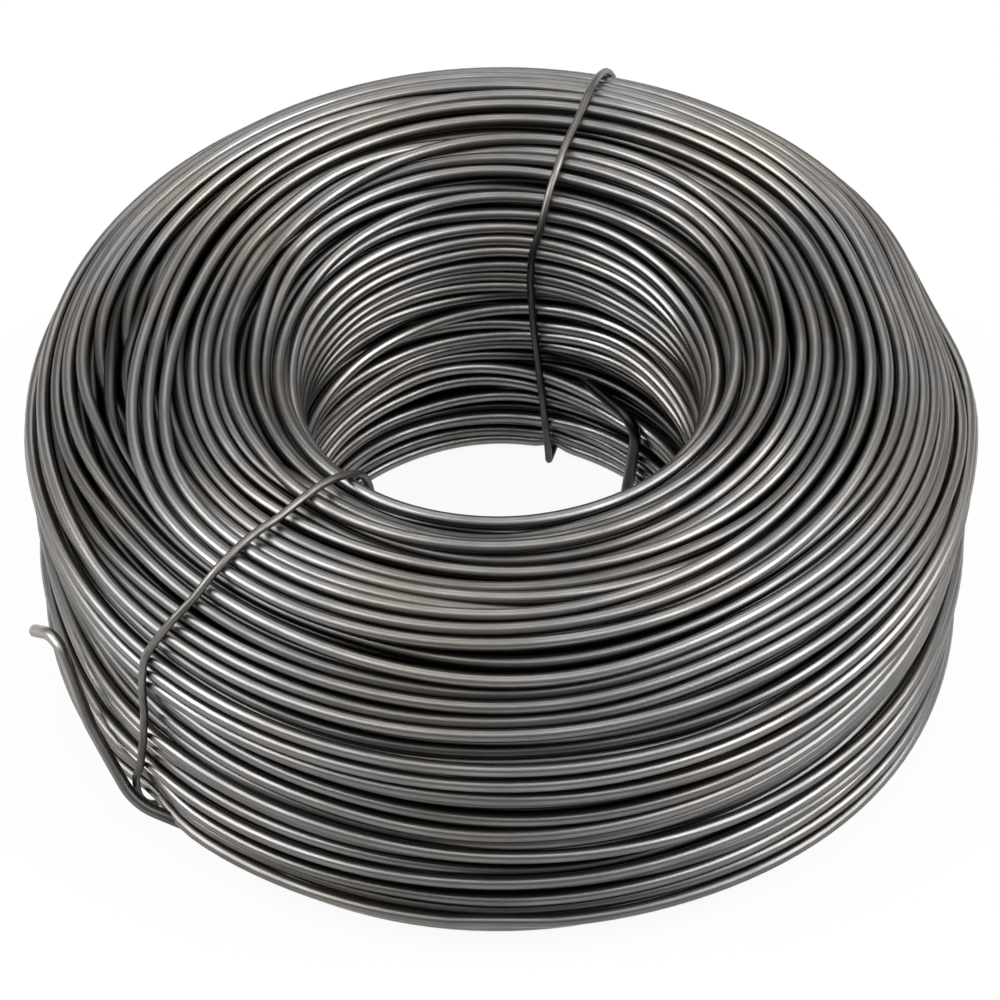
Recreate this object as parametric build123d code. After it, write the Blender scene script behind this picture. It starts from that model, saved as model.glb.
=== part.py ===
from build123d import *
import os
from math import cos, radians, sin

# Driving dimensions in millimetres and degrees

# The winding
wire_diameter = 1.6
coil_outer_diameter = 120.0
bore_diameter = 49.0
coil_height = 48.0
outer_top_shoulder = 16.0
inner_top_shoulder = 12.0
outer_bottom_shoulder = 8.0
inner_bottom_bevel = 1.0
turn_pitch = 2.0
groove_depth_share = 0.45
rest_land_width = 5.0
crown_slope = 25
brow_steps = 3
foot_steps = 3

# The two ties, each leaning loop given by its azimuths at the bore's rim, the outer rim and the outer foot
tie_diameter = 1.0
tie_clearance = 0.2
tie_floor_gap = 0.1
tie_foot_sink = 1.2
tie_inner_bend = 2.0
tie_outer_bend = 5.0
back_tie_azimuths = (79.5, 75.3, 73.7)
front_tie_azimuths = (-123.5, -132.0, -139.8)
wire_sides = 6

# The wire's two free ends, each a route of (stand-off from the wall in wire diameters,
# azimuth in degrees, height as a share of the coil)
outer_end_shares = [
    (-2.50, -127.0, 0.073),
    (0.85, -137.5, 0.140),
    (0.85, -146.0, 0.285),
    (0.75, -152.5, 0.425),
    (1.25, -158.5, 0.375),
]
inner_end_shares = [
    (-1.80, 66.0, 0.40),
    (0.70, 52.0, 0.37),
    (0.70, 39.5, 0.31),
    (0.70, 43.5, 0.03),
]
outer_end_bends = [8.0, 14.0, 4.0]
inner_end_bend = 3.0

coil_radius = coil_outer_diameter / 2
bore_radius = bore_diameter / 2
wire_radius = wire_diameter / 2
tie_radius = tie_diameter / 2

# A narrow ring still keeps one turn between its two top shoulders
outer_shoulder = min(outer_top_shoulder, coil_radius - bore_radius - inner_top_shoulder - turn_pitch)


def around(radius, azimuth, height):
    """A point given by its distance from the coil's axis, its azimuth and its height."""
    return Vector(radius * cos(radians(azimuth)), radius * sin(radians(azimuth)), height)


def turned_band(path):
    """The turns along one stretch of the section: crests on the stretch, grooves below it."""
    turns = round(path.length / turn_pitch)
    points = [path @ 0]
    for turn in range(turns):
        middle = (turn + 0.5) / turns
        along = path % middle
        inward = Vector(along.Y, -along.X)
        points.append(path @ middle + inward * wire_diameter * groove_depth_share)
        points.append(path @ ((turn + 1) / turns))
    return Polyline(*points)


def stepped(path, steps):
    """A rounded shoulder of the section in a few straight steps."""
    return Polyline(*[path @ (step / steps) for step in range(steps + 1)])


def drawn_wire(path, radius):
    """Wire of one radius drawn along a path."""
    start = Plane(origin=path @ 0, z_dir=path % 0)
    return sweep(start * RegularPolygon(radius, wire_sides, major_radius=False), path=path)


# Winding section, clockwise from the foot of the bore wall
bore_wall = Line((bore_radius, inner_bottom_bevel), (bore_radius, coil_height - inner_top_shoulder))
inner_center = (bore_radius + inner_top_shoulder, coil_height - inner_top_shoulder)
inner_brow = CenterArc(inner_center, inner_top_shoulder, 180, crown_slope - 90)
inner_crown = CenterArc(inner_center, inner_top_shoulder, 90 + crown_slope, -crown_slope)
outer_center = (coil_radius - outer_shoulder, coil_height - outer_shoulder)
crown = Line(inner_crown @ 1, (coil_radius - outer_shoulder, coil_height))
outer_crown = CenterArc(outer_center, outer_shoulder, 90, -crown_slope)
outer_brow = CenterArc(outer_center, outer_shoulder, 90 - crown_slope, crown_slope - 90)
outer_wall = Line(outer_brow @ 1, (coil_radius, outer_bottom_shoulder))
foot_center = (coil_radius - outer_bottom_shoulder, outer_bottom_shoulder)
foot = CenterArc(foot_center, outer_bottom_shoulder, 0, -90)
outer_land = Line(foot @ 1, (coil_radius - outer_bottom_shoulder - rest_land_width, 0))
inner_edge = bore_radius + inner_bottom_bevel
base = Line(outer_land @ 1, (inner_edge + rest_land_width, 0))
inner_land = Line(base @ 1, (inner_edge, 0))
bevel = Line(inner_land @ 1, bore_wall @ 0)
outline = [
    bore_wall,
    stepped(inner_brow, brow_steps),
    turned_band(Wire([inner_crown, crown, outer_crown])),
    stepped(outer_brow, brow_steps),
    outer_wall,
    stepped(foot, foot_steps),
    outer_land,
    turned_band(base),
    inner_land,
    bevel,
]
section = Plane.XZ * make_face([edge for stretch in outline for edge in stretch.edges()])
winding = revolve(section, axis=Axis.Z)

# The wire's free ends grow out of the winding and keep their own spring
outer_points = [
    around(coil_radius + off * wire_diameter, azimuth, rise * coil_height)
    for off, azimuth, rise in outer_end_shares
]
outer_end = drawn_wire(FilletPolyline(*outer_points, radius=outer_end_bends), wire_radius)
inner_points = [
    around(bore_radius - off * wire_diameter, azimuth, rise * coil_height)
    for off, azimuth, rise in inner_end_shares
]
inner_end = drawn_wire(FilletPolyline(*inner_points, radius=inner_end_bend), wire_radius)
winding = winding + outer_end + inner_end


def tie_route(azimuths):
    """The closed loop of a tie's centre line, in one leaning plane round the section."""
    rim_azimuth, brow_azimuth, foot_azimuth = azimuths
    reach = tie_clearance + tie_radius
    rim = around(bore_radius - reach, rim_azimuth, coil_height + reach)
    brow = around(coil_radius + reach, brow_azimuth, coil_height + reach)
    outer_foot = around(coil_radius + reach - tie_foot_sink, foot_azimuth, tie_floor_gap + tie_radius)
    inner_foot = rim + (outer_foot - brow) + (brow - rim).normalized() * tie_foot_sink
    bends = [tie_inner_bend, inner_top_shoulder + reach, outer_shoulder + reach, tie_outer_bend]
    return FilletPolyline(inner_foot, rim, brow, outer_foot, radius=bends, close=True)


def tie_bed(route):
    """What the pulled tie presses out of the winding: everything beyond its inner side."""
    loop = make_face(route)
    pressed = offset(loop, tie_diameter) - offset(loop, -tie_radius - tie_clearance / 2)
    return extrude(pressed, amount=tie_radius + tie_clearance, both=True)


back_route = tie_route(back_tie_azimuths)
front_route = tie_route(front_tie_azimuths)
tie_back = drawn_wire(back_route, tie_radius)
tie_front = drawn_wire(front_route, tie_radius)
wire_coil = winding - tie_bed(back_route) - tie_bed(front_route)

os.makedirs("parts", exist_ok=True)
export_step(wire_coil, "parts/wire_coil.step")
export_step(tie_back, "parts/tie_back.step")
export_step(tie_front, "parts/tie_front.step")
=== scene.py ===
import math

import bpy
import numpy as np
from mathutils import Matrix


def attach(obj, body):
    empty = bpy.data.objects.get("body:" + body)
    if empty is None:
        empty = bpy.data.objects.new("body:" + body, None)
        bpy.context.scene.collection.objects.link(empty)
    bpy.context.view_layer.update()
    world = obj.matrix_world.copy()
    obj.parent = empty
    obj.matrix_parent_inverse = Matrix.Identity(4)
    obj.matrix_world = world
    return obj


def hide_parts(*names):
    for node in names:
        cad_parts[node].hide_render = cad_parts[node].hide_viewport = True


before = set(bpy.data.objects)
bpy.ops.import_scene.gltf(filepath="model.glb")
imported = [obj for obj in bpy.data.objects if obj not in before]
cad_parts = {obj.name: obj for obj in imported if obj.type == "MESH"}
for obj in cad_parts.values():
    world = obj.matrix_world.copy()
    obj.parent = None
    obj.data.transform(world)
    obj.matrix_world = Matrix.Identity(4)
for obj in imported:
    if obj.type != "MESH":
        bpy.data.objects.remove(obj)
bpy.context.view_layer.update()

# The winding: one long soft steel wire, drawn to 1.6 mm, annealed black and wound turn on turn into a
# loaf-shaped ring. The turns lie in loose layers: they bunch, open into lens-shaped gaps and here and there
# stray across their neighbours. The three outermost layers are made, and the turns below them never show.
mm = 0.001
wire_radius = 0.8
bore_wall, outer_wall, crown_height = 24.5, 59.99, 48.0
corner_radii = {"inner_top": 12.0, "outer_top": 16.0, "outer_foot": 7.5, "inner_foot": 1.2}
stations = 150
station_angles = np.arange(stations) * 2 * math.pi / stations
azimuths = np.degrees(station_angles)
rng = np.random.default_rng(seed=16)
tiny = 1e-6


def loaf_distance(r, z):
    """How far a point of the section lies outside the loaf-shaped winding (negative inside), and the
    outward direction: distance to a box whose four corners are each rounded to their own radius."""
    across, above = r - (bore_wall + outer_wall) / 2, z - crown_height / 2
    top = np.where(across > 0, corner_radii["outer_top"], corner_radii["inner_top"])
    foot = np.where(across > 0, corner_radii["outer_foot"], corner_radii["inner_foot"])
    radius = np.where(above > 0, top, foot)
    side = np.abs(across) - (outer_wall - bore_wall) / 2 + radius
    end = np.abs(above) - crown_height / 2 + radius
    out_side, out_end = np.maximum(side, 0), np.maximum(end, 0)
    reach = np.hypot(out_side, out_end)
    distance = reach + np.minimum(np.maximum(side, end), 0) - radius
    safe = np.maximum(reach, tiny)
    push_r = np.where(reach > 0, out_side / safe, side > end) * np.sign(across)
    push_z = np.where(reach > 0, out_end / safe, side <= end) * np.sign(above)
    return distance, np.stack([push_r, push_z], -1)


def loaf_outline(inset):
    """The section's outline drawn in by an inset, as points and the length run at each: four quarter
    circles joined by straight runs, from the top of the bore over the crown and round by the foot."""
    smallest_radius, arc_points = 0.2, 40
    corners = []
    for name, quarter in (("inner_top", 2), ("outer_top", 1), ("outer_foot", 0), ("inner_foot", 3)):
        radius = max(corner_radii[name] - inset, smallest_radius)
        angle = np.radians(90 * quarter - np.linspace(0, 90, arc_points))
        middle_r = bore_wall + inset + radius if "inner" in name else outer_wall - inset - radius
        middle_z = crown_height - inset - radius if "top" in name else inset + radius
        r, z = middle_r + radius * np.cos(angle), middle_z + radius * np.sin(angle)
        corners.append(np.stack([r, z], 1))
    walk = np.concatenate(corners + [corners[0][:1]])
    return walk, np.concatenate([[0], np.cumsum(np.hypot(*np.diff(walk, axis=0).T))])


def on_outline(inset, places):
    """Points of the inset outline at places given in millimetres along it."""
    walk, run = loaf_outline(inset)
    places = np.mod(places, run[-1])
    return np.stack([np.interp(places, run, walk[:, 0]), np.interp(places, run, walk[:, 1])], -1)


def slow_wave(count, waves, size):
    """Smooth random drift for each of several turns: a sum of the first few waves round the ring with
    random phases and heights that fall with a power of their number, scaled to a given size."""
    fall = 0.7
    order = np.arange(1, waves + 1)
    phase = rng.uniform(0, 2 * math.pi, (count, waves, 1))
    height = rng.normal(0, 1, (count, waves, 1)) / order[:, None] ** fall
    return size * (height * np.sin(order[:, None] * station_angles + phase)).sum(1)


def shorter_way(difference, lap):
    """A difference of two places on a closed lap, taken the shorter way round: half a lap at most."""
    return np.mod(difference + lap / 2, lap) - lap / 2


def gap_shift(places, length, gaps):
    """How far the wire at each place is pushed aside by the gaps, and how far it sinks in the middle of
    one, as deep as the gap is half wide. Along a gap its middle moves evenly from its first place to its
    last, and its half width swells from nothing and back as half a sine. It pushes both ways from its
    middle, most at about a wire's width off, and fades across the layer."""
    sink_reach, sink_share, push_reach = 0.6, 0.4, 1.75 * wire_radius
    from_azimuth, to_azimuth, from_place, to_place, half_width = gaps.T
    passed = np.mod(azimuths[:, None] - from_azimuth, 360) / (to_azimuth - from_azimuth)
    passed = np.minimum(passed, 1)
    middle = from_place + (to_place - from_place) * passed
    swell = half_width * np.sin(math.pi * passed)
    off = shorter_way(places[..., None] - middle, length)
    sunk = (swell * np.exp(-((off / (sink_reach + sink_share * half_width)) ** 2))).max(-1)
    reaches_off = off / (push_reach + half_width)
    pushed = (swell * reaches_off * np.exp((1 - reaches_off**2) / 2)).sum(-1)
    return pushed, sunk


def swerve_shift(places, swerves):
    """How far bunches of turns swerve along the outline together: smooth hills over azimuth and place."""
    azimuth, place, shift, half_length, half_width = swerves.T
    off = shorter_way(azimuths[:, None] - azimuth, 360)
    hill = np.exp(-((off / half_length) ** 2) - ((places[..., None] - place) / half_width) ** 2)
    return (hill * shift).sum(-1)


def dive_shares(turns, divers, middles, half_lengths):
    """How far each turn dives under its neighbours round the ring, from 0 to 1: for each diving turn a
    smooth hill about the azimuth of its middle."""
    off = shorter_way(azimuths - middles[:, None], 360)
    shares = np.zeros((turns, stations))
    np.maximum.at(shares, divers, np.exp(-((off / half_lengths[:, None]) ** 2)))
    return shares


def next_turn(along, length):
    """The place of each turn's neighbour further along the outline: the last turn's is the first, a whole
    length of the outline on."""
    return np.concatenate([along[1:], along[:1] + length])


def run_on(values):
    """Values along each turn that fade evenly into the next turn's, so that the spiral runs on smoothly."""
    passed = station_angles / (2 * math.pi)
    return values * (1 - passed) + np.roll(values, -1, 0) * passed


# The gaps that show most: from and to azimuth, from and to place along the outline in millimetres from the
# top of the bore, and half width. First the left of the crown, then its right, the front, the wall to the
# left and right of that, and last the bore.
main_gaps = [
    (160, 220, 23.0, 34.0, 4.0),
    (150, 178, 19.0, 18.5, 0.6),
    (158, 222, 12.5, 13.5, 2.8),
    (181, 205, 35.5, 36.0, 1.6),
    (200, 223, 37.5, 38.0, 1.5),
    (203, 226, 27.0, 27.5, 1.1),
    (198, 216, 21.0, 20.5, 1.0),
    (194, 218, 44.0, 44.0, 1.2),
    (208, 228, 18.5, 18.5, 0.8),
    (-12, 34, 17.5, 18.0, 1.2),
    (-34, 34, 27.5, 26.0, 1.5),
    (-6, 30, 13.5, 14.0, 1.0),
    (-24, 4, 39.0, 37.0, 1.5),
    (252, 290, 31.5, 31.5, 0.8),
    (250, 288, 37.5, 38.0, 0.5),
    (256, 284, 43.0, 42.5, 0.7),
    (246, 288, 47.5, 48.0, 1.2),
    (244, 294, 54.5, 55.0, 1.4),
    (252, 286, 63.0, 62.5, 1.2),
    (240, 280, 70.0, 70.5, 1.2),
    (206, 230, 53.0, 58.5, 3.6),
    (290, 335, 52.0, 49.0, 1.4),
    (300, 340, 62.0, 60.0, 1.4),
    (285, 320, 42.0, 41.0, 1.3),
    (18, 82, 126.0, 125.0, 2.8),
    (56, 88, 135.5, 135.5, 1.2),
    (95, 130, 121.0, 122.0, 1.4),
    (120, 165, 130.0, 131.0, 1.4),
]

# A scatter of lesser gaps fills the rest of the ring: how many, how far along the outline they lie, and
# the ranges of their length in degrees, of their slant and of their half width in millimetres.
lesser_gaps, farthest_place = 170, 146
gap_lengths, gap_slant, gap_half_widths = (15, 45), 1.0, (0.3, 0.9)
from_azimuth = rng.uniform(0, 360, lesser_gaps)
from_place = rng.uniform(0, farthest_place, lesser_gaps)
to_azimuth = from_azimuth + rng.uniform(*gap_lengths, lesser_gaps)
to_place = from_place + rng.normal(0, gap_slant, lesser_gaps)
half_width = rng.uniform(*gap_half_widths, lesser_gaps)
scatter = np.stack([from_azimuth, to_azimuth, from_place, to_place, half_width], 1)
gaps = np.concatenate([np.array(main_gaps), scatter])

# Bunches that swerve together, as the ones that dip at the front, and the crowding of the right brow's
# turns on to the crown: azimuth, place, shift along the outline, half length in degrees and half width.
swerves = np.array(
    [
        (0, 42, -1.5, 50, 12),
        (210, 19, 2.5, 17, 6),
        (150, 16, -1.5, 25, 6),
        (300, 55, 1.8, 24, 8),
        (340, 30, 1.5, 20, 7),
        (274, 34, 1.8, 16, 3),
        (262, 44, 2.2, 17, 3),
        (276, 51, 2.4, 18, 3),
        (263, 59, 2.2, 18, 3),
        (278, 66, 2.0, 16, 3),
    ]
)

# The strays: turns that cross the others on top, each a ring through places given by azimuth. Three run
# straight over the left brow, two are sprung a little out of the right wall, and the rest wander.
stray_routes = [
    [(166, 23), (180, 24.2), (195, 27), (203, 29.2), (211, 31.2), (247, 31.5), (320, 30), (60, 27)],
    [(178, 22), (196, 25), (204, 27.2), (213, 29.5), (224, 29.8), (260, 29.5), (0, 26.5), (90, 24)],
    [(170, 19), (188, 21.5), (198, 23.4), (213, 27.6), (224, 28), (260, 27.5), (0, 24), (90, 21)],
    [(300, 46.5), (339, 45.5), (350, 43.5), (0, 43.5), (12, 44), (60, 45), (180, 45.5)],
    [(290, 49), (335, 48), (348, 46), (0, 45.5), (14, 46.5), (80, 47.2), (190, 47.8)],
]
sprung_strays = [3, 4]
loose_places = np.array([9, 16, 41, 51, 62, 68, 76, 118, 137])
loose_waves, loose_size = 3, 1.0
routed = np.array([np.interp(azimuths, *np.transpose(route), period=360) for route in stray_routes])
loose = loose_places[:, None] + slow_wave(len(loose_places), loose_waves, loose_size)
strays = np.concatenate([routed, loose])
surface_length = loaf_outline(wire_radius)[1][-1]

# The turns below a stray give way to it: how far to each side, and how deep.
stray_clearance, stray_sink = 1.7, 1.5

# The mean pitch of the turns by their share of the outline: close on the crown, opening over the brow, down
# the wall and down the bore. The turns drift about it and lie at uneven depths.
pitch_shares = np.array([0.0, 0.12, 0.17, 0.25, 0.335, 0.41, 0.50, 0.575, 0.76, 0.88, 1.0])
pitch_sizes = np.array([1.85, 1.85, 1.85, 1.95, 2.05, 2.10, 2.10, 2.00, 2.45, 2.30, 1.85])
pitch_samples = 3000
under_pitch_share = 1.2
layer_count, layer_step = 3, 1.6
drift_waves, drift_size = 7, 0.4
sink_waves, sink_size = 5, 0.22
highest_rise, deepest_sink = 0.3, 0.7

# Turns that lie too close move apart, a share of the lack at each sweep.
closest_pitch, spread_sweeps, spread_rate = 1.58, 150, 0.25

# Turns that dive: at the front every fourth one of the brow and the wall and every fifth of the crown, and
# some others anywhere but at the seam of the spiral. Their neighbours close in over them, sweep by sweep.
crown_from, brow_from, wall_to = 6, 32, 82
crown_every, wall_every = 5, 4
front_azimuth, front_spread, front_half_lengths = 270, 18, (24, 42)
other_dives, other_azimuths, other_half_lengths = 18, (40, 320), (9, 20)
dive_depth, dive_room, dive_overlap = 1.4, 0.35, 0.5
closing_sweeps, closing_rate = 40, 0.2

# Each layer is one closed spiral: a turn ends where the next begins, one pitch further along the outline.
layers = []
follows = []
first_turn = 0
for depth in range(layer_count):
    inset = wire_radius + highest_rise + depth * layer_step
    length = loaf_outline(inset)[1][-1]
    share = np.linspace(0, 1, pitch_samples)
    pitch = np.interp(share[1:], pitch_shares, pitch_sizes) * (under_pitch_share if depth else 1)
    passed = np.concatenate([[0], np.cumsum(np.diff(share) * length / pitch)])
    turns = int(passed[-1])
    turns_run = np.arange(turns)[:, None] + station_angles / (2 * math.pi)
    along = np.interp(turns_run / turns, passed / passed[-1], share) * length
    drift = run_on(slow_wave(turns, drift_waves, drift_size))
    uneven = slow_wave(turns, sink_waves, sink_size)
    sink = run_on(uneven + rng.uniform(-highest_rise, deepest_sink, (turns, 1)))
    along = along + swerve_shift(along, swerves) + drift
    closest = closest_pitch
    if depth == 0:
        mean_place = along.mean(1)
        on_crown = (mean_place > crown_from) & (mean_place < brow_from)
        on_wall = (mean_place > brow_from) & (mean_place < wall_to)
        crown_divers = np.flatnonzero(on_crown)[1::crown_every]
        wall_divers = np.flatnonzero(on_wall)[1::wall_every]
        divers = np.concatenate([crown_divers, wall_divers, rng.integers(0, turns, other_dives)])
        front_dives = len(divers) - other_dives
        front_middles = front_azimuth + rng.uniform(-front_spread, front_spread, front_dives)
        middles = np.concatenate([front_middles, rng.uniform(*other_azimuths, other_dives)])
        front_halves = rng.uniform(*front_half_lengths, front_dives)
        half_lengths = np.concatenate([front_halves, rng.uniform(*other_half_lengths, other_dives)])
        dive = dive_shares(turns, divers, middles, half_lengths)
        next_dive = np.roll(dive, -1, 0)
        sink = sink + dive_depth * dive
        wanted = (next_turn(along, length) - along) * (1 - dive_room * (dive + next_dive))
        for sweep in range(closing_sweeps):
            slack = next_turn(along, length) - along - wanted
            along = along + closing_rate * (slack - np.roll(slack, 1, 0))
        closest = closest_pitch * (1 - dive_overlap * np.maximum(dive, next_dive))
        along = along + gap_shift(along, length, gaps)[0]
    for sweep in range(spread_sweeps):
        lack = np.maximum(closest - (next_turn(along, length) - along), 0)
        along = along + spread_rate * (np.roll(lack, 1, 0) - lack)
    if depth == 0:
        sink = sink + gap_shift(along, length, np.array(main_gaps))[1]
    below = shorter_way(strays.T[None] - along[..., None] * surface_length / length, surface_length)
    sink = sink + stray_sink * np.exp(-((below / stray_clearance) ** 2)).max(-1)
    laid = on_outline(inset, along)
    layers.append(laid - loaf_distance(laid[..., 0], laid[..., 1])[1] * sink[..., None])
    follows.append(first_turn + np.roll(np.arange(turns), -1))
    first_turn += turns

# The strays lie on top as closed rings: each one runs on into itself.
layers.append(on_outline(wire_radius, strays))
follows.append(first_turn + np.arange(len(strays)))

# All turns together: where each layer ends, each turn's distance from the axis and height at every station,
# the turn that it runs on into and the one that it comes from.
layer_ends = np.cumsum([0] + [len(layer) for layer in layers])
turn_rz = np.concatenate(layers)
follow = np.concatenate(follows)
lead = np.argsort(follow)

# The turns settle: wires that overlap push each other apart, each wire straightens a little along its
# run and is drawn to where it was laid, and none leaves the loaf. Each turn looks only at its nearest
# neighbours, found beforehand at a few stations.
coarse_step, neighbours, far_off = 15, 20, 99
settle_sweeps, settled_share = 170, 1.01
push_rate, straighten_rate, home_rate = 0.28, 0.14, 0.006
coarse = turn_rz[:, ::coarse_step]
apart = np.sqrt(((coarse[:, None] - coarse[None]) ** 2).sum(-1)).min(-1)
near = np.argsort(apart + far_off * np.eye(len(coarse)), 1)[:, :neighbours]
home = turn_rz.copy()
for sweep in range(settle_sweeps):
    offset = turn_rz[:, None] - turn_rz[near]
    distance = np.sqrt((offset**2).sum(-1)) + tiny
    push = np.maximum(2 * wire_radius * settled_share - distance, 0) / distance
    turn_rz += push_rate * (offset * push[..., None]).sum(1)
    ahead = np.concatenate([turn_rz[:, 1:], turn_rz[follow][:, :1]], 1)
    behind = np.concatenate([turn_rz[lead][:, -1:], turn_rz[:, :-1]], 1)
    turn_rz += straighten_rate * (ahead + behind - 2 * turn_rz) + home_rate * (home - turn_rz)
    out, away = loaf_distance(turn_rz[..., 0], turn_rz[..., 1])
    turn_rz -= away * np.maximum(out + wire_radius, 0)[..., None]
buried = np.maximum(-out - wire_radius, 0)

# The loaf is not quite round: dents and swellings of its outer side by azimuth, height, push outwards in
# millimetres, half length in degrees and half height. The two sprung turns don't follow the dent behind
# them, over the stretch that is given by its azimuth and its half length.
dents = np.array(
    [
        (12, 40, -2.3, 15, 10),
        (-17, 22, -1.0, 13, 8),
        (-160, 22, -1.4, 14, 10),
        (-40, 4, 1.2, 26, 7),
        (-95, 3, 0.6, 30, 5),
        (-138, 6, -1.2, 5, 6),
    ]
)
sprung_azimuth, sprung_half_length = -4, 15
azimuth, height, outward, half_length, half_height = dents.T
off = shorter_way(azimuths[:, None] - azimuth, 360)
hill = np.exp(-((off / half_length) ** 2) - ((turn_rz[..., 1, None] - height) / half_height) ** 2)
outer_share = np.clip((turn_rz[..., 0] - bore_wall) / (outer_wall - bore_wall), 0, 1)
sprung = np.zeros((len(turn_rz), 1))
sprung[layer_ends[layer_count] + np.array(sprung_strays)] = 1
sprung = sprung * np.exp(-((shorter_way(azimuths - sprung_azimuth, 360) / sprung_half_length) ** 2))
turn_rz[..., 0] += outer_share * (1 - sprung) * (hill * outward).sum(-1)

# No swelling leaves the square box that the round ring just fills.
box_reach = np.maximum(np.abs(np.cos(station_angles)), np.abs(np.sin(station_angles)))
turn_rz[..., 0] = np.minimum(turn_rz[..., 0], (outer_wall - wire_radius) / box_reach)

# Under the ring the lowest turns ride over the two ties: azimuth of each tie at the outer foot and at the
# bore, and how far the turns are lifted there.
tie_crossings = [(74, 74), (-140, -128)]
tie_lift, lift_height, lift_length = 1.2, 3.0, 3.5
for foot_azimuth, bore_azimuth in tie_crossings:
    crossing = np.interp(turn_rz[..., 0], [bore_wall, outer_wall], [bore_azimuth, foot_azimuth])
    off = shorter_way(azimuths - crossing, 360)
    hill = np.exp(-((off / lift_length) ** 2) - (turn_rz[..., 1] / lift_height) ** 2)
    turn_rz[..., 1] += tie_lift * hill


def tube_faces(loops, rings, sides, closed=True):
    """Four-sided faces between neighbouring rings of tubes, facing outwards, with the ring number and the
    side number that each corner stands at. In a closed tube the last ring of each loop joins its first."""
    steps = np.arange(rings if closed else rings - 1)
    loop, ring, side = np.meshgrid(np.arange(loops), steps, np.arange(sides), indexing="ij")
    ring, side = ring[..., None] + np.array([0, 1, 1, 0]), side[..., None] + np.array([0, 0, 1, 1])
    faces = (loop[..., None] * rings + ring % rings) * sides + side % sides
    ring = loop[..., None] * rings + ring
    return faces.reshape(-1, 4), ring.reshape(-1, 4), side.reshape(-1, 4)


def underside_shade(facing_up):
    """How much of its tone a wire shows by how far its side faces up: painted shade, darker on the
    underside of each turn that faces away from the light above and full on its upper side, with a smooth
    step between."""
    shade_share, shaded_below, lit_above = 0.4, -0.3, 0.6
    step = np.clip((facing_up - shaded_below) / (lit_above - shaded_below), 0, 1)
    return shade_share + (1 - shade_share) * step * step * (3 - 2 * step)


def new_piece(name, points, faces, run_and_lap, tone, material, stands_for):
    """A mesh object at the origin from whole arrays: points, four-sided faces, the length run and the lap
    round the wire at each corner as its UV map, and each point's tone. It rides on the coil's body, stands
    for a node, is smooth all over, and its mesh is given back."""
    mesh = bpy.data.meshes.new(name)
    mesh.from_pydata(points.reshape(-1, 3) * mm, [], faces)
    mesh.polygons.foreach_set("use_smooth", np.ones(len(faces), bool))
    mesh.uv_layers.new(name="wire_run").data.foreach_set("uv", np.stack(run_and_lap, -1).ravel())
    mesh.attributes.new("tone", "FLOAT", "POINT").data.foreach_set("value", tone.ravel())
    mesh.materials.append(material)
    piece = bpy.data.objects.new(name, mesh)
    bpy.context.scene.collection.objects.link(piece)
    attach(piece, "root")
    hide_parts(stands_for)
    return mesh


def linear(hex_colour):
    """An sRGB hex colour as the linear colour that shaders take: each part through the sRGB curve, which is
    straight near black and a power above."""
    parts = [int(hex_colour[start : start + 2], 16) / 255 for start in (1, 3, 5)]
    return [part / 12.92 if part <= 0.04045 else ((part + 0.055) / 1.055) ** 2.4 for part in parts] + [1.0]


def add_node(tree, kind, settings=None, links=None):
    """One shader node with its settings, input values and incoming links."""
    node = tree.nodes.new(kind)
    for key, value in (settings or {}).items():
        if isinstance(key, str) and hasattr(node, key):
            setattr(node, key, value)
        else:
            node.inputs[key].default_value = value
    for key, socket in (links or {}).items():
        tree.links.new(socket, node.inputs[key])
    return node


# Black annealed steel: drawn wire baked in a closed furnace, so a thin dark oxide skin over bright metal.
# It gives the eye a dark grey wire with a clear sheen along its crest, patchy along its run, and faint
# brown and blue stains where the oxide is thicker. Its colour is scaled by the tone of each point, which
# carries painted shade: nearly black between and under the turns.
annealed = bpy.data.materials.new("black_annealed_steel")
annealed.use_nodes = True
tree = annealed.node_tree
shader = tree.nodes["Principled BSDF"]
shader.inputs["Metallic"].default_value = 1.0
tone = add_node(tree, "ShaderNodeAttribute", {"attribute_name": "tone"})
body_place = add_node(tree, "ShaderNodeTexCoord")
wire_run = add_node(tree, "ShaderNodeUVMap", {"uv_map": "wire_run"})
# Patches of sheen about 9 mm long and half the wire wide; the map's run is in centimetres. From a dull
# patch to a bright one the skin's level rises and its roughness falls, over the noise's usual range.
patches_per_cm, patches_round = 1.1, 2.0
noise_low, noise_high = 0.3, 0.7
dull_level, bright_level = 0.72, 1.18
dull_roughness, bright_roughness = 0.42, 0.29
sheen_scale = add_node(
    tree,
    "ShaderNodeVectorMath",
    {"operation": "MULTIPLY", 1: (patches_per_cm, patches_round, 1.0)},
    {0: wire_run.outputs["UV"]},
)
sheen = add_node(
    tree,
    "ShaderNodeTexNoise",
    {"Scale": 1.0, "Detail": 3.0, "Roughness": 0.6},
    {"Vector": sheen_scale.outputs["Vector"]},
)
# Stains about 22 mm across, from warm to cool.
stain_size = 22 * mm
stain_colours = [(0.32, "#96918a"), (0.46, "#95928f"), (0.58, "#949392"), (0.70, "#929394")]
stain = add_node(
    tree,
    "ShaderNodeTexNoise",
    {"Scale": 1 / stain_size, "Detail": 2.0},
    {"Vector": body_place.outputs["Object"]},
)
tint = add_node(tree, "ShaderNodeValToRGB", {}, {"Fac": stain.outputs["Fac"]})
for at, colour in stain_colours:
    tint.color_ramp.elements.new(at).color = linear(colour)
tint.color_ramp.elements.remove(tint.color_ramp.elements[-1])
tint.color_ramp.elements.remove(tint.color_ramp.elements[0])
patch = add_node(
    tree,
    "ShaderNodeMapRange",
    {"From Min": noise_low, "From Max": noise_high, "To Min": dull_level, "To Max": bright_level},
    {"Value": sheen.outputs["Fac"]},
)
level = add_node(
    tree,
    "ShaderNodeMath",
    {"operation": "MULTIPLY"},
    {0: tone.outputs["Fac"], 1: patch.outputs["Result"]},
)
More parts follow.
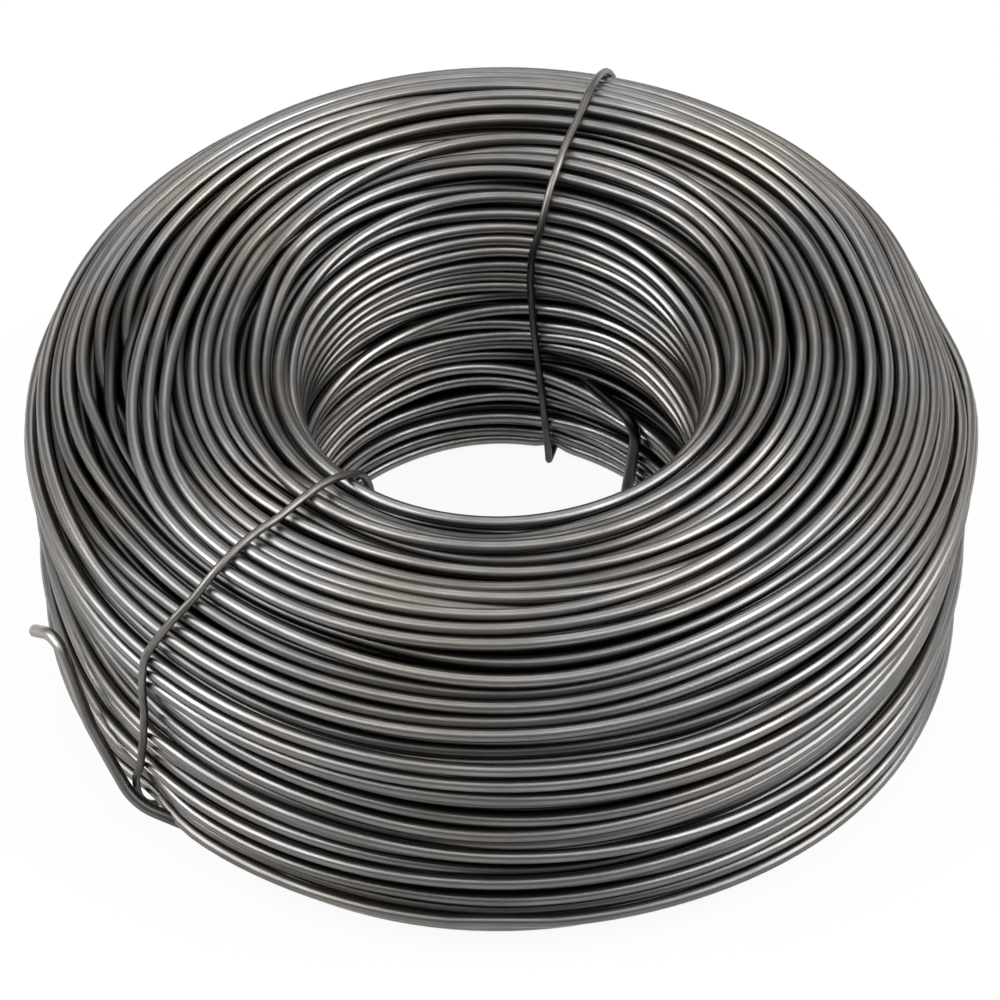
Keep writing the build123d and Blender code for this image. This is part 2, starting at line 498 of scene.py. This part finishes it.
skin = add_node(
    tree,
    "ShaderNodeVectorMath",
    {"operation": "SCALE"},
    {0: tint.outputs["Color"], "Scale": level.outputs["Value"]},
)
tree.links.new(skin.outputs["Vector"], shader.inputs["Base Color"])
rough = add_node(
    tree,
    "ShaderNodeMapRange",
    {"From Min": noise_low, "From Max": noise_high, "To Min": dull_roughness, "To Max": bright_roughness},
    {"Value": sheen.outputs["Fac"]},
)
tree.links.new(rough.outputs["Result"], shader.inputs["Roughness"])

# The layers as wire: name, sides of the wire, and the range of tones of its turns, painted darker with
# depth as the shade between the turns.
winding_pieces = [
    ("winding_surface", 8, 0.85, 1.25),
    ("winding_under", 6, 0.60, 0.90),
    ("winding_deep", 5, 0.25, 0.40),
    ("winding_strays", 8, 0.90, 1.25),
]
mm_per_cm = 10
mean_turn = 2 * math.pi * (bore_wall + outer_wall) / 2
station_run = mean_turn / stations / mm_per_cm
tone_waves, tone_size = 3, 0.05

# Painted shade in the recesses: a turn is painted darker from a first depth on, over a further stretch, by
# a share of its tone, and by more in the lower bore, where shade falls: that is near the bore's wall and
# under a top height, each with a soft edge.
deep_from, deep_stretch, deep_shade = 0.5, 1.3, 0.65
bore_depth, bore_edge, bore_top, bore_top_edge, bore_shade = 8, 3, 40, 8, 0.25
for depth, (name, sides, dullest, brightest) in enumerate(winding_pieces):
    layer = slice(layer_ends[depth], layer_ends[depth + 1])
    path = turn_rz[layer]
    turns = len(path)
    r, z = path.reshape(-1, 2).T
    angle = np.tile(station_angles, turns)
    lap = np.arange(sides) * 2 * math.pi / sides
    reach = r[:, None] + wire_radius * np.cos(lap)
    rise = z[:, None] + wire_radius * np.sin(lap)
    points = np.stack([reach * np.cos(angle)[:, None], reach * np.sin(angle)[:, None], rise], -1)
    loops = turns if name == "winding_strays" else 1
    faces, ring, side = tube_faces(loops, len(r) // loops, sides)
    run_and_lap = (ring * station_run, side / sides)
    tones = rng.uniform(dullest, brightest, (turns, 1)) + slow_wave(turns, tone_waves, tone_size)
    # Painted shade for the buried turns and the lower bore.
    deep = np.clip((buried[layer] - deep_from) / deep_stretch, 0, 1)
    in_bore = np.clip((bore_wall + bore_depth - path[..., 0]) / bore_edge, 0, 1)
    in_bore = in_bore * np.clip((bore_top - path[..., 1]) / bore_top_edge, 0, 1)
    tones = tones * (1 - (deep_shade + bore_shade * in_bore) * deep)
    # Painted shade: the underside of each wire is painted darker.
    tones = tones.reshape(-1, 1) * underside_shade(np.sin(lap))
    new_piece(name, points, faces, run_and_lap, tones, annealed, "wire_coil")

# The heart of the winding: the turns of the same steel below those three layers, which never show by
# themselves. They are one closed ring, drawn in from the outline, that stops the light, painted dark as the
# shade deep in the winding.
heart_inset, heart_sides, heart_shade_tone = 6.0, 72, 0.25
even = np.arange(heart_sides) * loaf_outline(heart_inset)[1][-1] / heart_sides
r, z = on_outline(heart_inset, even)[::-1].T
x, y = np.cos(station_angles)[:, None] * r, np.sin(station_angles)[:, None] * r
points = np.stack([x, y, np.broadcast_to(z, x.shape)], -1)
faces, ring, side = tube_faces(1, stations, heart_sides)
run_and_lap = (ring * station_run, side / heart_sides)
tones = np.full(x.shape, heart_shade_tone)
new_piece("winding_heart", points, faces, run_and_lap, tones, annealed, "wire_coil")


# The wire's two free ends: the outer one leaves the foot of the wall beside the front tie, runs up along it
# and is bent outwards at its cut tip; the inner one comes out of a gap in the bore and is bent down to the
# floor. They are the winding's own wire, sheared off square.
def around(radius, azimuth, height):
    """A point given by its distance from the coil's axis, its azimuth in degrees and its height."""
    angle = math.radians(azimuth)
    return np.array([radius * math.cos(angle), radius * math.sin(angle), height])


def bent_route(corners, bends, spacing):
    """The centre line of a wire bent by hand: straight runs between corners, each corner rounded by an arc
    that starts and ends where the two runs touch it, in steps of an even spacing."""
    arc_points = 12
    arcs = [corners[0][None]]
    for last, corner, next_corner, bend in zip(corners, corners[1:], corners[2:], bends):
        come = (corner - last) / np.linalg.norm(corner - last)
        go = (next_corner - corner) / np.linalg.norm(next_corner - corner)
        turned = math.acos(np.dot(come, go))
        inward = go - np.dot(come, go) * come
        inward = inward / np.linalg.norm(inward)
        angle = np.linspace(0, turned, arc_points)[:, None]
        arc_start = corner - come * bend * math.tan(turned / 2)
        arcs.append(arc_start + bend * (np.sin(angle) * come + (1 - np.cos(angle)) * inward))
    knots = np.concatenate(arcs + [corners[-1][None]])
    run = np.concatenate([[0], np.cumsum(np.linalg.norm(np.diff(knots, axis=0), axis=1))])
    even = np.linspace(0, run[-1], int(run[-1] / spacing))
    return np.stack([np.interp(even, run, knots[:, axis]) for axis in range(3)], 1)


def wire_rings(path, tangent, radius, sides, beside):
    """Rings round a centre line and the way each point faces: circles square to its run, spanned by the
    direction square to both the run and a given side direction, and the one square to that."""
    tangent = tangent / np.linalg.norm(tangent, axis=1)[:, None]
    across = np.cross(tangent, beside)
    across = across / np.linalg.norm(across, axis=1)[:, None]
    rise = np.cross(across, tangent)
    lap = (np.arange(sides) * 2 * math.pi / sides)[None, :, None]
    facing = np.cos(lap) * across[:, None] + np.sin(lap) * rise[:, None]
    return path[:, None] + radius * facing, facing


def cut_end(name, corners, bends, beside, shade_range):
    """A free end of the winding's wire: a round tube on its bent route, closed by a flat cut at each end
    made of four-sided faces that share one corner of the ring. Its tone, painted shade, rises evenly
    towards its tip, and the underside of the wire is painted darker."""
    sides, spacing = 12, 0.6
    path = bent_route(corners, bends, spacing)
    points, facing = wire_rings(path, np.gradient(path, axis=0), wire_radius, sides, beside)
    faces, ring, side = tube_faces(1, len(path), sides, closed=False)
    corner = np.arange(1, sides - 2, 2)
    fan = np.stack([np.zeros_like(corner), corner, corner + 1, corner + 2], 1)
    last = (len(path) - 1) * sides
    round_faces = len(faces)
    faces = np.concatenate([faces, fan, last + fan[:, ::-1]])
    steps = np.concatenate([ring, np.zeros_like(fan), np.full_like(fan, len(path))])
    lap = np.concatenate([side, fan, fan[:, ::-1]]) / sides
    # Painted shade along the end and on its underside.
    tones = np.linspace(*shade_range, len(path))[:, None] * underside_shade(facing[..., 2])
    run_and_lap = (steps * spacing / mm_per_cm, lap)
    mesh = new_piece(name, points, faces, run_and_lap, tones, annealed, "wire_coil")
    mesh.polygons.foreach_set("use_smooth", np.arange(len(faces)) < round_faces)


outer_corners = [
    around(55.5, -124, 3.0),
    around(61.3, -137.5, 6.5),
    around(61.3, -146, 13.5),
    around(61.3, -153, 22.5),
    around(62.8, -157, 19.5),
]
# The outer end is painted dark at its foot, low in shade under the ring, and full toward its tip.
outer_bends, outer_beside, outer_shade_tones = [8.0, 14.0, 3.0], around(1, -145, 0), (0.05, 1.9)
cut_end("outer_end", outer_corners, outer_bends, outer_beside, outer_shade_tones)
inner_corners = [
    around(28.5, 72, 15.0),
    around(25.2, 58, 15.0),
    around(23.7, 40, 15.2),
    around(23.5, 43.5, 1.5),
]
# The inner end is painted dark all along, as shade in the bore.
inner_bends, inner_beside, inner_shade_tones = [8.0, 3.0], around(1, 48, 0), (0.1, 0.2)
cut_end("inner_end", inner_corners, inner_bends, inner_beside, inner_shade_tones)

# The two ties: thinner soft steel wire, about 1 mm, each laid once round the ring's section, drawn tight
# and joined under it. They hug the winding over its brows and lean a little along the ring as they go.
tie_radius, tie_clearance, tie_floor_gap = 0.5, 0.2, 0.06
tie_steps, tie_sides = 320, 12

# Each tie's azimuth by its place along the outline, its kinks eased by a few sweeps.
lean_sweeps = 6
tie_routes = {
    "tie_back": [
        (2, 80.5), (5, 78.5), (13, 76.5), (20, 75.5), (36, 75), (73, 74),
        (111, 74), (122, 76.5), (134, 79.5), (144, 81),
    ],
    "tie_front": [
        (0, -131), (4, -129.5), (10, -127.5), (19, -128.5), (35, -130.5), (41, -132.5), (45, -134),
        (61, -135.4), (68, -137.1), (72, -138.7), (84, -140), (111, -129), (140, -131.5),
    ],
}

# How far a tie is drawn in by its place: all the way but under the ring, where it lies on the floor.
drawn_shares = [(0, 1), (72, 1), (84, 0), (111, 0), (118, 1), (146, 1)]

# How much of its tone a tie shows by its place, as painted shade: full over the crown and the upper wall,
# painted darker towards the foot and in the bore, where shade falls.
tie_shade_tones = [(0, 0.3), (8, 0.7), (14, 1.0), (58, 1.0), (66, 0.6), (80, 0.4), (112, 0.4), (146, 0.3)]

# Soft tie wire: the same annealed steel, handled more, so its skin is rubbed to a plain mid grey that
# gives the eye a dull, even line with darker patches along it.
tie_steel = bpy.data.materials.new("soft_tie_steel")
tie_steel.use_nodes = True
tree = tie_steel.node_tree
shader = tree.nodes["Principled BSDF"]
shader.inputs["Metallic"].default_value = 1.0
wire_run = add_node(tree, "ShaderNodeUVMap", {"uv_map": "wire_run"})
tone = add_node(tree, "ShaderNodeAttribute", {"attribute_name": "tone"})
# Rubbed patches about 6 mm long and half the wire wide, from sooty to rubbed bare.
rubs_per_cm, rubs_round = 1.6, 2.0
sooty_colour, bare_colour = "#67635f", "#a39f9a"
sooty_roughness, bare_roughness = 0.5, 0.36
rub_scale = add_node(
    tree,
    "ShaderNodeVectorMath",
    {"operation": "MULTIPLY", 1: (rubs_per_cm, rubs_round, 1.0)},
    {0: wire_run.outputs["UV"]},
)
rub = add_node(
    tree,
    "ShaderNodeTexNoise",
    {"Scale": 1.0, "Detail": 3.0, "Roughness": 0.6},
    {"Vector": rub_scale.outputs["Vector"]},
)
rubbed = add_node(tree, "ShaderNodeValToRGB", {}, {"Fac": rub.outputs["Fac"]})
rub_colours = [(noise_low, sooty_colour), (noise_high, bare_colour)]
for element, (at, colour) in zip(rubbed.color_ramp.elements, rub_colours):
    element.position = at
    element.color = linear(colour)
skin = add_node(
    tree,
    "ShaderNodeVectorMath",
    {"operation": "SCALE"},
    {0: rubbed.outputs["Color"], "Scale": tone.outputs["Fac"]},
)
tree.links.new(skin.outputs["Vector"], shader.inputs["Base Color"])
rough = add_node(
    tree,
    "ShaderNodeMapRange",
    {"From Min": noise_low, "From Max": noise_high, "To Min": sooty_roughness, "To Max": bare_roughness},
    {"Value": rub.outputs["Fac"]},
)
tree.links.new(rough.outputs["Result"], shader.inputs["Roughness"])


def smoothed(values, sweeps):
    """Values round a closed loop after some sweeps, each of which takes the mean of every value, counted
    twice, and its two neighbours."""
    for sweep in range(sweeps):
        values = (np.roll(values, 1) + 2 * values + np.roll(values, -1)) / 4
    return values


def drawn_in(place, away, lean):
    """How far a tie can be drawn in along the outline's normal before it touches a turn: the room left
    behind it, less the chord of a circle as wide as both wires, the least over a short stretch of the
    tie and smoothed, because a tight tie bridges from one proud turn to the next."""
    touch, farthest, stretch, sweeps = wire_radius + tie_radius, 1.8, 8, 20
    station = np.round(lean / 360 * stations).astype(int) % stations
    offset = place - turn_rz[:, station]
    behind = (offset * away).sum(-1)
    beside = offset[..., 0] * away[:, 1] - offset[..., 1] * away[:, 0]
    chord = np.sqrt(np.maximum(touch**2 - beside**2, 0))
    room = np.where(np.abs(beside) < touch, behind - chord, farthest).min(0)
    room = np.min([np.roll(room, step) for step in range(-stretch, stretch + 1)], 0)
    return np.clip(smoothed(room, sweeps), 0, farthest)


for node, route in tie_routes.items():
    walk, run = loaf_outline(-tie_radius - tie_clearance)
    even = np.arange(tie_steps) * run[-1] / tie_steps
    along = np.interp(even, run, loaf_outline(wire_radius)[1])
    lean = smoothed(np.interp(along, *np.transpose(route), period=surface_length), lean_sweeps)
    r = np.interp(even, run, walk[:, 0])
    z = np.maximum(np.interp(even, run, walk[:, 1]), tie_radius + tie_floor_gap)
    away = loaf_distance(r, z)[1]
    drawn = drawn_in(np.stack([r, z], 1), away, lean) * np.interp(along, *np.transpose(drawn_shares))
    r, z = r - drawn * away[:, 0], z - drawn * away[:, 1]
    path = np.stack([r * np.cos(np.radians(lean)), r * np.sin(np.radians(lean)), z], 1)
    tangent = np.roll(path, -1, 0) - np.roll(path, 1, 0)
    beside = around(1, lean.mean() + 90, 0)
    points, facing = wire_rings(path, tangent, tie_radius, tie_sides, beside)
    # Painted shade along the tie and on its underside.
    tones = np.interp(along, *np.transpose(tie_shade_tones))[:, None] * underside_shade(facing[..., 2])
    faces, ring, side = tube_faces(1, tie_steps, tie_sides)
    run_and_lap = (ring * run[-1] / tie_steps / mm_per_cm, side / tie_sides)
    new_piece(node + "_wire", points, faces, run_and_lap, tones, tie_steel, node)

# The floor: a wide sheet of white paper. The eye, and the bright metal, see it as the white of the backdrop
# with the ring's shadow still on it.
paper_half = 3.0
floor_mesh = bpy.data.meshes.new("floor")
corners = [(-paper_half, -paper_half, 0), (paper_half, -paper_half, 0)]
corners += [(paper_half, paper_half, 0), (-paper_half, paper_half, 0)]
floor_mesh.from_pydata(corners, [], [(0, 1, 2, 3)])
floor = bpy.data.objects.new("floor", floor_mesh)
bpy.context.scene.collection.objects.link(floor)
paper = bpy.data.materials.new("white_paper_sweep")
paper.use_nodes = True
tree = paper.node_tree
shader = tree.nodes["Principled BSDF"]
shader.inputs["Base Color"].default_value = linear("#f4f4f4")
shader.inputs["Roughness"].default_value = 0.8
white_share = 0.93
ray = add_node(tree, "ShaderNodeLightPath")
seen = add_node(
    tree,
    "ShaderNodeMath",
    {"operation": "ADD"},
    {0: ray.outputs["Is Camera Ray"], 1: ray.outputs["Is Glossy Ray"]},
)
seen = add_node(
    tree,
    "ShaderNodeMath",
    {"operation": "ADD", "use_clamp": True},
    {0: seen.outputs["Value"], 1: ray.outputs["Is Transmission Ray"]},
)
white_seen = add_node(
    tree,
    "ShaderNodeMath",
    {"operation": "MULTIPLY", 1: white_share},
    {0: seen.outputs["Value"]},
)
white = add_node(tree, "ShaderNodeEmission", {"Color": (1, 1, 1, 1), "Strength": 1.0})
mixed = add_node(
    tree,
    "ShaderNodeMixShader",
    {},
    {0: white_seen.outputs["Value"], 1: shader.outputs["BSDF"], 2: white.outputs["Emission"]},
)
tree.links.new(mixed.outputs["Shader"], tree.nodes["Material Output"].inputs["Surface"])
floor_mesh.materials.append(paper)

# The light: a pale room and four square softboxes of cloth over lamps, one high on each side, a weaker one
# high behind and the weakest over the front. They are broad, so each wire has soft lines of light.
room_strength = 0.22
world = bpy.data.worlds.new("studio")
bpy.context.scene.world = world
world.use_nodes = True
world.node_tree.nodes["Background"].inputs["Color"].default_value = (1, 1, 1, 1)
world.node_tree.nodes["Background"].inputs["Strength"].default_value = room_strength

# Each softbox: its place and width in metres and its power in watts. All face the ring.
softboxes = [
    ("left_softbox", (-0.80, -0.18, 0.80), 0.9, 10.4),
    ("right_softbox", (0.80, -0.18, 0.80), 0.9, 10.8),
    ("back_softbox", (0.0, 0.65, 1.00), 0.9, 2.6),
    ("front_softbox", (0.0, -0.35, 1.15), 0.7, 1.8),
]
light_aim = (0, 0, 0.02)
for name, place, size, power in softboxes:
    lamp = bpy.data.lights.new(name, "AREA")
    lamp.size = size
    lamp.energy = power
    body = bpy.data.objects.new(name, lamp)
    body.location = place
    away = np.subtract(place, light_aim)
    tilt = math.atan2(math.hypot(away[0], away[1]), away[2])
    body.rotation_euler = (tilt, 0, math.atan2(away[1], away[0]) + math.pi / 2)
    bpy.context.scene.collection.objects.link(body)

# The camera: a short telephoto view from the front, about as far above the floor as in front of the ring,
# with a small shift that sets the ring in the frame.
elevation = math.radians(46.23)
distance, aim_height = 0.4524, 0.0239
camera_data = bpy.data.cameras.new("camera")
camera_data.lens = 127.37
camera_data.sensor_width = 36.0
camera_data.shift_x = -0.0011
camera_data.shift_y = -0.0369
camera_data.clip_start = 0.01
camera = bpy.data.objects.new("camera", camera_data)
camera.location = (0, -distance * math.cos(elevation), aim_height + distance * math.sin(elevation))
camera.rotation_euler = (math.pi / 2 - elevation, 0, 0)
bpy.context.scene.collection.objects.link(camera)
bpy.context.scene.camera = camera
bpy.context.scene.view_settings.view_transform = "Standard"
